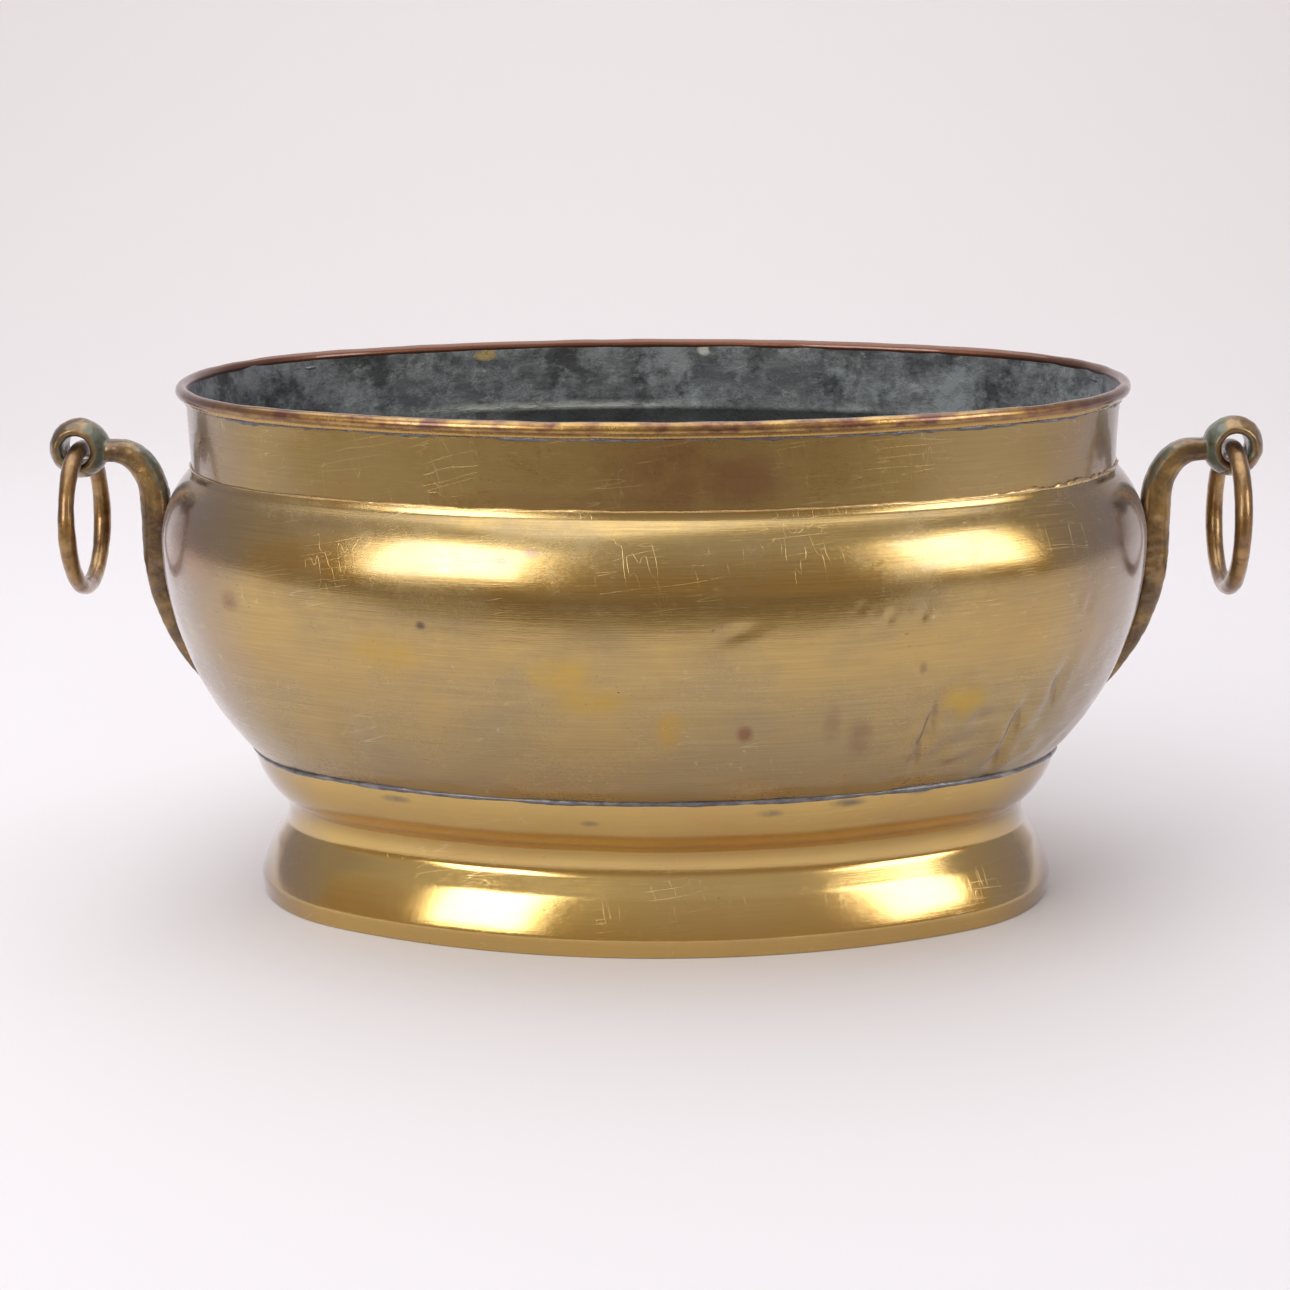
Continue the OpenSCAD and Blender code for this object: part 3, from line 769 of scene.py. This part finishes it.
def spot(tree, place, centre, radii, edge=0.4):
    # 1 inside an egg of radii mm about centre, falling to 0 at its outside
    offset = add(tree, "VectorMath", place, [c * mm for c in centre], operation="SUBTRACT")
    scaled = add(tree, "VectorMath", offset, [1 / (r * mm) for r in radii], operation="MULTIPLY")
    far = add(tree, "VectorMath", scaled, out=1, operation="LENGTH")
    return add(tree, "MapRange", Value=far, From_Min=edge, From_Max=1.0, To_Min=1.0, To_Max=0.0)


def between(tree, place, axis, low, high):
    # 0 to 1 as X, Y or Z goes from low to high mm
    split = add(tree, "SeparateXYZ", out="XYZ".index(axis), Vector=place)
    return add(tree, "MapRange", Value=split, From_Min=low * mm, From_Max=high * mm)


def overlap(tree, *masks):
    # 1 only where every mask is 1: their product. A number among them weakens it.
    product = masks[0]
    for mask in masks[1:]:
        product = add(tree, "Math", product, mask, operation="MULTIPLY")
    return product


def paint(tree, base, *layers):
    # Colours laid over one another, each where its own mask is 1, at its own strength
    for mask, strength, colour in layers:
        mask = overlap(tree, mask, strength)
        base = add(tree, "Mix", out=2, data_type="RGBA", in0=mask, in6=base, in7=colour)
    return base


def fill(tree, shader, colour, roughness, normal):
    # The three patterns that every metal here has
    tree.links.new(colour, shader.inputs["Base Color"])
    tree.links.new(roughness, shader.inputs["Roughness"])
    tree.links.new(normal, shader.inputs["Normal"])


def sheetBrass(name, v):
    # Spun and hand-polished yellow brass: clear reflections broken by level polishing lines,
    # worn duller in clouds, with tan haze, brown specks and a few long scratches. Real polishing
    # lines are much finer than the 0.6 mm used here, which is as fine as still shows.
    material, tree, shader, place = metal(name)
    haze = clouds(tree, place, 46.0, 0.42, 0.66, 5.0, 0.6)
    warm = clouds(tree, place, (90.0, 90.0, 60.0), 0.50, 0.72, 3.0)
    stain = clouds(tree, place, (34.0, 34.0, 22.0), 0.60, 0.74, 6.0, 0.65)
    grain = clouds(tree, place, (44.0, 44.0, 0.6), 0.32, 0.68, 5.0, 0.75)
    fine = clouds(tree, place, 3.2, 0.35, 0.70, 5.0, 0.7)
    low = overlap(tree, between(tree, place, "Z", v["dullBelow"] + 12, v["dullBelow"] - 12),
                  clouds(tree, place, 60.0, 0.25, 0.60, 5.0))
    dull = add(tree, "Math", low, overlap(tree, haze, v["haze"]), operation="MAXIMUM")
    specks = overlap(tree, clouds(tree, place, 2.6, 0.66, 0.70, 4.0, 0.7),
                     clouds(tree, place, 40.0, 0.52, 0.66, 3.0))
    level = scratches(tree, place, (70.0, 70.0, 5.0), 0.006, (18, 8, 0))
    steep = scratches(tree, place, (6.0, 6.0, 80.0), 0.005, (9, 12, 0))
    worn = add(tree, "Math", level, steep, operation="MAXIMUM")
    worn = overlap(tree, worn, clouds(tree, place, 30.0, 0.48, 0.60))
    # Grey-lilac towards both ends, from endsFrom mm outward: painted reflection of the pale
    # surroundings seen edge on
    along = add(tree, "Math", add(tree, "SeparateXYZ", place), operation="ABSOLUTE")
    ends = add(tree, "MapRange", Value=along, From_Min=v["endsFrom"] * mm,
               From_Max=(v["endsFrom"] + 45) * mm)
    ends = overlap(tree, ends, clouds(tree, place, 30.0, 0.10, 0.45, 5.0))
    colour = paint(tree, v["clean"], (warm, v["warmth"], v["warm"]), (dull, 1.0, v["dull"]),
                   (ends, v["ends"], v["paintedEdgeReflectionColour"]), (stain, v["stain"], v["stainColour"]),
                   (grain, v["grainTint"], v["grainColour"]), (specks, 0.75, v["speckColour"]),
                   (worn, 0.35, v["scratchColour"]))
    ragged = clouds(tree, place, 14.0, 0.25, 0.55, 5.0, 0.65)
    for centre, radii, strength, code in v["spots"]:
        patch = overlap(tree, spot(tree, place, centre, radii), ragged)
        colour = paint(tree, colour, (patch, strength, code))
    rough = add(tree, "MapRange", Value=dull, To_Min=v["shine"], To_Max=v["dullness"])
    for pattern, amount in ((grain, v["grainRough"]), (fine, 0.05), (specks, 0.25)):
        rough = add(tree, "Math", pattern, amount, rough, operation="MULTIPLY_ADD")
    lines = add(tree, "Math", worn, -1.2, grain, operation="MULTIPLY_ADD")
    lines = add(tree, "Math", specks, -1.5, lines, operation="MULTIPLY_ADD")
    normal = add(tree, "Bump", Height=lines, Distance=v["grainDepth"] * mm)
    normal = add(tree, "Bump", Height=fine, Distance=v["fineDepth"] * mm, Normal=normal)
    fill(tree, shader, colour, rough, normal)
    return material


def verdigris(name, v):
    # Brass that stayed damp inside: dark blue-green-grey oxide in clouds and level runs, dry and rough,
    # with pale lime blooms, a chalky line along the collar's lower edge, and a near-black band of
    # painted shade below that line
    material, tree, shader, place = metal(name)
    cloud = clouds(tree, place, 26.0, 0.44, 0.60, 8.0, 0.72)
    level = clouds(tree, place, (26.0, 26.0, 5.0), 0.45, 0.68, 6.0, 0.7)
    bloom = clouds(tree, place, (13.0, 13.0, 9.0), 0.57, 0.72, 7.0, 0.72)
    dark = clouds(tree, place, 38.0, 0.50, 0.60, 7.0, 0.7)
    fine = clouds(tree, place, 2.0, 0.3, 0.7, 5.0, 0.7)
    colour = paint(tree, v["base"], (cloud, 1.0, v["blue"]), (level, 0.5, v["grey"]),
                   (dark, 0.75, v["dark"]), (bloom, 0.55, v["pale"]))
    # The chalky line is strongest on the left; the near-black band below it is painted shade under the
    # collar's lower edge
    edge = v["limeZ"]
    left = overlap(tree, between(tree, place, "X", -145, -125), between(tree, place, "X", 20, -10))
    lime = overlap(tree, between(tree, place, "Z", edge - 2, edge),
                   between(tree, place, "Z", edge + 4, edge),
                   clouds(tree, place, (30.0, 30.0, 9.0), 0.36, 0.52, 6.0, 0.7),
                   add(tree, "Math", left, 0.25, operation="MAXIMUM"))
    # Painted shade: a near-black band on the inner wall just under the chalky line
    paintedShadeBand = overlap(tree, between(tree, place, "X", -110, -80), between(tree, place, "X", 150, 120),
                  between(tree, place, "Z", edge, edge - 2.5),
                  between(tree, place, "Z", edge - 16, edge - 8))
    colour = paint(tree, colour, (paintedShadeBand, 0.85, v["paintedShadeColour"]), (lime, v["lime"], v["limeColour"]))
    ragged = clouds(tree, place, 6.0, 0.35, 0.5, 4.0)
    for centre, radii, code in v["spots"]:
        patch = overlap(tree, spot(tree, place, centre, radii, 0.6), ragged)
        colour = paint(tree, colour, (patch, 1.0, code))
    rough = add(tree, "MapRange", Value=cloud, To_Min=0.62, To_Max=0.85)
    height = add(tree, "Math", fine, 0.35, lime, operation="MULTIPLY_ADD")
    height = add(tree, "Math", cloud, height, operation="ADD")
    shader.inputs["Metallic"].default_value = 0.15
    fill(tree, shader, colour, rough, add(tree, "Bump", Height=height, Distance=0.5 * mm))
    return material


bellyLook = {
    "clean": "C4A562", "warm": "BE955A", "warmth": 0.5, "dull": "AC986E", "haze": 0.75,
    "dullBelow": 150, "stain": 0.35, "stainColour": "C7A44E",
    # Grey-lilac painted reflection towards both ends: its strength, where it starts, and its colour
    "ends": 0.85, "endsFrom": 192, "paintedEdgeReflectionColour": "94857F",
    "grainTint": 0.55, "grainColour": "94784A", "grainRough": 0.08, "grainDepth": 0.018,
    "fineDepth": 0.010, "speckColour": "5E4038", "scratchColour": "E8D7A8",
    "shine": 0.09, "dullness": 0.30,
    # centre, radii, strength, colour: stains, darker brown along the dents, and at the end a painted
    # reflection of the left handle
    "spots": [
        ((156, -120, 137), (15, 60, 13), 0.75, "BE9A34"),
        ((104, -130, 120), (9, 60, 15), 0.5, "86644C"),
        ((90, -130, 130), (6, 60, 16), 0.5, "8A6A50"),
        ((134, -120, 109), (2.4, 60, 12), 0.5, "6E5038"),
        ((141, -120, 130), (2.2, 60, 11), 0.4, "6E5038"),
        ((176, -110, 98), (2.6, 60, 13), 0.5, "6E5038"),
        ((185, -110, 120), (2.2, 60, 11), 0.4, "6E5038"),
        ((203, -95, 133), (2.2, 60, 12), 0.35, "6E5038"),
        ((134, -120, 157), (2.6, 60, 5), 0.5, "5E4434"),
        ((-125, -120, 165), (26, 60, 15), 0.7, "C09A3A"),
        ((-40, -150, 160), (20, 60, 12), 0.7, "C29C40"),
        ((-26, -150, 146), (22, 60, 10), 0.6, "BE9A3C"),
        ((12, -150, 130), (9, 60, 14), 0.7, "BE963A"),
        ((48, -150, 127), (5, 60, 6), 0.8, "85563C"),
        ((-107, -130, 181), (3.5, 60, 3), 0.9, "4A2E30"),
        ((-67, -140, 214), (7, 60, 4), 0.6, "7A5258"),
        ((-53, -140, 218), (6, 60, 3), 0.6, "7A5258"),
        ((-207, -90, 183), (7, 60, 7), 0.6, "7C5A44"),
        # Painted reflection: a warm brown oval on the belly's left end, where the left handle shows in
        # the metal
        ((-228, -60, 200), (34, 60, 20), 0.5, "B07A48"),
    ],
}
collarLook = dict(
    bellyLook, clean="B4985C", warm="AC8048", dull="A08C5C", haze=0.7, dullBelow=0, stain=0.2,
    grainTint=0.5, shine=0.22, dullness=0.34, grainRough=0.10, grainDepth=0.022,
    spots=[((20, -152, 254), (46, 30, 26), 0.5, "8E5E42"),
           ((52, -152, 250), (20, 30, 16), 0.4, "8A5A48"),
           ((-60, -150, 240), (120, 30, 6), 0.3, "8A6440")])
footLook = dict(
    bellyLook, clean="D2B066", warm="C89C5A", dull="C4AA72", haze=0.35, dullBelow=0, stain=0.2,
    endsFrom=172, grainTint=0.16, grainDepth=0.010, shine=0.07, dullness=0.22, grainRough=0.04,
    spots=[((61, -140, 76), (9, 60, 3), 0.8, "5E5A58"), ((101, -130, 79), (12, 60, 3), 0.8, "5E5A58"),
           ((137, -110, 82), (8, 60, 3), 0.7, "6A6460"), ((-29, -150, 71), (7, 60, 2.5), 0.7, "6A6460"),
           ((-129, -110, 77), (10, 60, 2.5), 0.7, "6A6460")])
insideLook = {
    "base": "585D60", "blue": "98A0A3", "grey": "9A9EA0", "dark": "15181A", "pale": "C4C8C4",
    # The last colour on the next line is the near-black of that painted shade
    "lime": 0.9, "limeZ": topOf("belly") + 4.0, "limeColour": "C9CDC4", "paintedShadeColour": "17191A",
    "spots": [((-101, 136, 272), (8, 12, 4), "C8B070"), ((27, 149, 273), (5, 10, 4), "CDCEC8")],
}


rimLook = {"film": "6E4634", "lipAndFrontGold": "C8A258", "dark": "452C28", "shine": 0.20, "dullness": 0.34}


def rimBrass(name, v):
    # Wired edge: copper-brown film, gold in patches towards the front, and gold over the lip below the
    # roll, which is partly the lip's own colour and partly a painted highlight along the roll's lower
    # edge
    material, tree, shader, place = metal(name)
    patch = clouds(tree, place, (18.0, 18.0, 9.0), 0.38, 0.62, 5.0, 0.65)
    fine = clouds(tree, place, 1.6, 0.35, 0.65, 4.0, 0.7)
    front = overlap(tree, between(tree, place, "Y", -60, -140), patch, 0.8)
    # Gold from the roll's lower edge down over the lip: partly the lip's own colour, partly a painted
    # highlight
    low = overlap(tree, between(tree, place, "Z", 274.5, 272.5), 0.75)
    bright = add(tree, "Math", low, front, operation="MAXIMUM")
    dark = clouds(tree, place, 7.0, 0.60, 0.72, 5.0, 0.7)
    colour = paint(tree, v["film"], (bright, 1.0, v["lipAndFrontGold"]), (dark, 0.6, v["dark"]))
    rough = add(tree, "MapRange", Value=bright, To_Min=v["dullness"], To_Max=v["shine"])
    rough = add(tree, "Math", fine, 0.10, rough, operation="MULTIPLY_ADD")
    fill(tree, shader, colour, rough, add(tree, "Bump", Height=fine, Distance=0.03 * mm))
    return material


castLook = {"skin": "5E4A36", "skin2": "7E6646", "gold": "C6A060", "green": 0.85,
            "greenColour": "7C8A7E", "shine": 0.24, "dullness": 0.42}
ringLook = dict(castLook, skin="65452B", skin2="96713F", green=0.0, shine=0.22, dullness=0.36)


def castBrass(name, v):
    # Sand-cast brass left unpolished: brown skin, gold where hands and rings rub the outward
    # faces, grey-green verdigris in the inward and sheltered ones
    material, tree, shader, place = metal(name)
    surface = tree.nodes.new("ShaderNodeNewGeometry")
    worn = add(tree, "MapRange", Value=surface.outputs["Pointiness"], From_Min=0.505,
               From_Max=0.56)
    patch = clouds(tree, place, 9.0, 0.36, 0.62, 5.0, 0.65)
    broad = clouds(tree, place, 22.0, 0.42, 0.62, 4.0, 0.6)
    fine = clouds(tree, place, 1.3, 0.3, 0.7, 4.0, 0.7)
    # A face turned towards the pot's middle has a normal against its own X
    facing = add(tree, "VectorMath", add(tree, "Mapping", Vector=place, Scale=(1, 0, 0)),
                 surface.outputs["Normal"], out=1, operation="DOT_PRODUCT")
    inward = add(tree, "MapRange", Value=facing, From_Min=-0.04, From_Max=-0.16)
    green = overlap(tree, inward, between(tree, place, "Z", 205, 225),
                    clouds(tree, place, 5.0, 0.30, 0.55, 5.0, 0.7))
    gold = add(tree, "Math", overlap(tree, worn, 0.9), overlap(tree, broad, 0.55),
               operation="MAXIMUM")
    gold = overlap(tree, gold, clouds(tree, place, 6.0, 0.25, 0.50, 4.0))
    colour = paint(tree, v["skin"], (patch, 0.5, v["skin2"]), (gold, 1.0, v["gold"]),
                   (green, v["green"], v["greenColour"]))
    rough = add(tree, "MapRange", Value=gold, To_Min=v["dullness"], To_Max=v["shine"])
    rough = add(tree, "Math", green, 0.35, rough, operation="MULTIPLY_ADD")
    height = add(tree, "Math", fine, 0.5, patch, operation="MULTIPLY_ADD")
    fill(tree, shader, colour, rough, add(tree, "Bump", Height=height, Distance=0.10 * mm))
    return material


solderLook = {"dull": "56545A", "pale": "77767C", "scraped": "A8A6A6"}


def softSolder(name, v):
    # Lead-tin solder wiped on by hand: dull blue-grey, scraped bright in places
    material, tree, shader, place = metal(name)
    patch = clouds(tree, place, 8.0, 0.35, 0.62, 5.0, 0.65)
    fine = clouds(tree, place, 1.2, 0.3, 0.7, 4.0, 0.7)
    scraped = clouds(tree, place, (20.0, 20.0, 6.0), 0.55, 0.68, 4.0)
    colour = paint(tree, v["dull"], (patch, 1.0, v["pale"]), (scraped, 0.6, v["scraped"]))
    rough = add(tree, "MapRange", Value=scraped, To_Min=0.48, To_Max=0.30)
    height = add(tree, "Math", patch, fine, operation="ADD")
    fill(tree, shader, colour, rough, add(tree, "Bump", Height=height, Distance=0.12 * mm))
    return material


def plainBrass(name, code, roughness):
    # Brass with fine file marks, for wire, rivets and the hard solder's bead
    material, tree, shader, place = metal(name)
    patch = clouds(tree, place, 5.0, 0.35, 0.62, 5.0, 0.65)
    fine = clouds(tree, place, (3.0, 3.0, 0.5), 0.3, 0.7, 3.0, 0.7)
    colour = paint(tree, code, (patch, 0.4, "8C6A40"))
    rough = add(tree, "MapRange", Value=patch, To_Min=roughness, To_Max=roughness + 0.14)
    fill(tree, shader, colour, rough, add(tree, "Bump", Height=fine, Distance=0.03 * mm))
    return material


bellyBrass = sheetBrass("polishedBrassBelly", bellyLook)
collarBrass = sheetBrass("brushedBrassCollar", collarLook)
footBrass = sheetBrass("polishedBrassFoot", footLook)
insidePatina = verdigris("verdigrisInside", insideLook)
solder = softSolder("softSolder", solderLook)
cast = castBrass("castBrassHandles", castLook)
rivetBrass = plainBrass("rivetBrass", "8A6A40", 0.34)
ringBrass = castBrass("wornBrassRings", ringLook)

finishes = [
    (bellyPiece, bellyBrass), (bellyPiece, insidePatina),
    (collarPiece, collarBrass), (collarPiece, insidePatina),
    (footPiece, footBrass), (footPiece, insidePatina), (platePiece, insidePatina),
    (brazePiece, plainBrass("hardSolder", "DDBE84", 0.22)),
    (rimPiece, rimBrass("filmAndGoldRimBrass", rimLook)),
    (rimSolderPiece, solder), (footSolderPiece, solder),
]
for made in sides.values():
    finishes += [(made["handle"], cast), (made["pad"], solder), (made["rivets"], rivetBrass),
                 (made["ring"], ringBrass)]
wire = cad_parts["rim_wire"]
wire.data.materials.clear()
for piece, material in finishes + [(wire, rivetBrass)]:
    piece.data.materials.append(material)
print("materials:", len(bpy.data.materials))


studio = {
    "floor": "E9E7EA", "width": 7.0, "front": -3.2, "back": 2.6, "curve": 1.1, "height": 3.4,
}


def coveSurface(v, rows=90, columns=8):
    # A level floor that turns up through a quarter circle into an upright backdrop
    quarter = np.radians(np.linspace(-90, 0, 48))
    flat = np.linspace(v["front"], v["back"] - v["curve"], 24)[:-1]
    rise = np.linspace(v["curve"], v["height"], 16)[1:]
    y = np.concatenate([flat, v["back"] - v["curve"] + v["curve"] * np.cos(quarter),
                        np.full(len(rise), v["back"])])
    z = np.concatenate([0 * flat, v["curve"] + v["curve"] * np.sin(quarter), rise])
    x = np.linspace(-v["width"] / 2, v["width"] / 2, columns)
    return np.stack([x[None, :] + 0 * y[:, None], y[:, None] + 0 * x, z[:, None] + 0 * x], -1)


def stageSurface(name, points, faces):
    mesh = bpy.data.meshes.new(name)
    mesh.from_pydata(points, [], faces)
    mesh.shade_smooth()
    surface = bpy.data.objects.new(name, mesh)
    bpy.context.scene.collection.objects.link(surface)
    return surface


cove = coveSurface(studio)
covePiece = stageSurface("studio.Cove", cove.reshape(-1, 3),
                         gridFaces(cove.shape[0], cove.shape[1], False, False))
paper = bpy.data.materials.new("paperBackdrop")
paper.use_nodes = True
paperShader = paper.node_tree.nodes["Principled BSDF"]
paperShader.inputs["Base Color"].default_value = linear(studio["floor"])
paperShader.inputs["Roughness"].default_value = 0.9
paperShader.inputs["Specular IOR Level"].default_value = 0.1
covePiece.data.materials.append(paper)

# The room's floor in front of the stand, dark in the metal's lower reflections, unseen by the
# camera and wider further off
dark = {"colour": "958A7E", "near": -0.60, "far": -3.1, "nearSides": (-1.4, 0.55),
        "farSides": (-6.4, 3.4), "lift": 0.004}
corners = [(dark["nearSides"][0], dark["near"], dark["lift"]),
           (dark["farSides"][0], dark["far"], dark["lift"]),
           (dark["farSides"][1], dark["far"], dark["lift"]),
           (dark["nearSides"][1], dark["near"], dark["lift"])]
darkFloor = stageSurface("studio.DarkFloor", corners, [(0, 1, 2, 3)])
darkFloor.visible_camera = False
darkFloor.visible_diffuse = False
darkFloor.visible_shadow = False
carpet = bpy.data.materials.new("darkFloor")
carpet.use_nodes = True
carpet.node_tree.nodes.clear()
glow = add(carpet.node_tree, "Emission", Color=dark["colour"], Strength=1.0)
carpetOutput = carpet.node_tree.nodes.new("ShaderNodeOutputMaterial")
carpet.node_tree.links.new(glow, carpetOutput.inputs[0])
darkFloor.data.materials.append(carpet)

world = bpy.data.worlds.new("studio")
bpy.context.scene.world = world
world.use_nodes = True
skyTree = world.node_tree
skyTree.nodes.clear()
way = skyTree.nodes.new("ShaderNodeTexCoord").outputs["Generated"]
upward = add(skyTree, "SeparateXYZ", out=2, Vector=way)
ahead = add(skyTree, "SeparateXYZ", out=1, Vector=way)
side = add(skyTree, "MapRange", Value=ahead, From_Min=-0.36, From_Max=-0.24)
ceiling = add(skyTree, "MapRange", Value=upward, From_Min=0.22, From_Max=0.72)
room = paint(skyTree, "AC9982", (ceiling, 1.0, "C6C2C0"), (side, 1.0, "A8A4AC"))
backdrop = add(skyTree, "Background", Color=room, Strength=1.0)
skyOutput = skyTree.nodes.new("ShaderNodeOutputWorld")
skyTree.links.new(backdrop, skyOutput.inputs[0])

lights = {
    # name: direction from the pot in degrees round from the front and up, metres away, width,
    # height, watts
    "leftBox": (-34, 23, 1.9, 0.68, 0.98, 13.0),
    "rightBox": (53, 23, 1.9, 0.60, 0.96, 10.0),
    "topBox": (-150, 84, 2.6, 3.6, 3.4, 64.0),
    "fillBox": (-50, 40, 2.7, 2.0, 2.0, 24.0),
}
for name, (around, up, far, width, height, watts) in lights.items():
    lamp = bpy.data.lights.new(name, "AREA")
    lamp.shape = "RECTANGLE"
    lamp.size, lamp.size_y, lamp.energy = width, height, watts
    holder = bpy.data.objects.new(name, lamp)
    a, e = math.radians(around), math.radians(up)
    away = Vector((math.sin(a) * math.cos(e), -math.cos(a) * math.cos(e), math.sin(e)))
    turn = away.to_track_quat("Z", "Y").to_matrix().to_4x4()
    holder.matrix_world = Matrix.Translation(Vector((0, 0, 0.2)) + away * far) @ turn
    holder.visible_diffuse = name in ("topBox", "fillBox")
    holder.visible_glossy = name != "fillBox"
    bpy.context.scene.collection.objects.link(holder)

# The camera's place in metres, its turn in radians, and its tilt from straight down in degrees
view = {"at": (0.0349, -1.2495, 0.4567), "turn": 0.0315, "down": 75.45, "roll": -0.41, "lens": 66.45}
lens = bpy.data.cameras.new("camera")
lens.lens, lens.sensor_width = view["lens"], 36.0
camera = bpy.data.objects.new("camera", lens)
camera.matrix_world = (Matrix.Translation(view["at"]) @ Matrix.Rotation(view["turn"], 4, "Z")
                       @ Matrix.Rotation(math.radians(view["down"]), 4, "X")
                       @ Matrix.Rotation(math.radians(view["roll"]), 4, "Z"))
bpy.context.scene.collection.objects.link(camera)
bpy.context.scene.camera = camera
bpy.context.scene.view_settings.view_transform = "Standard"
print("studio: set")
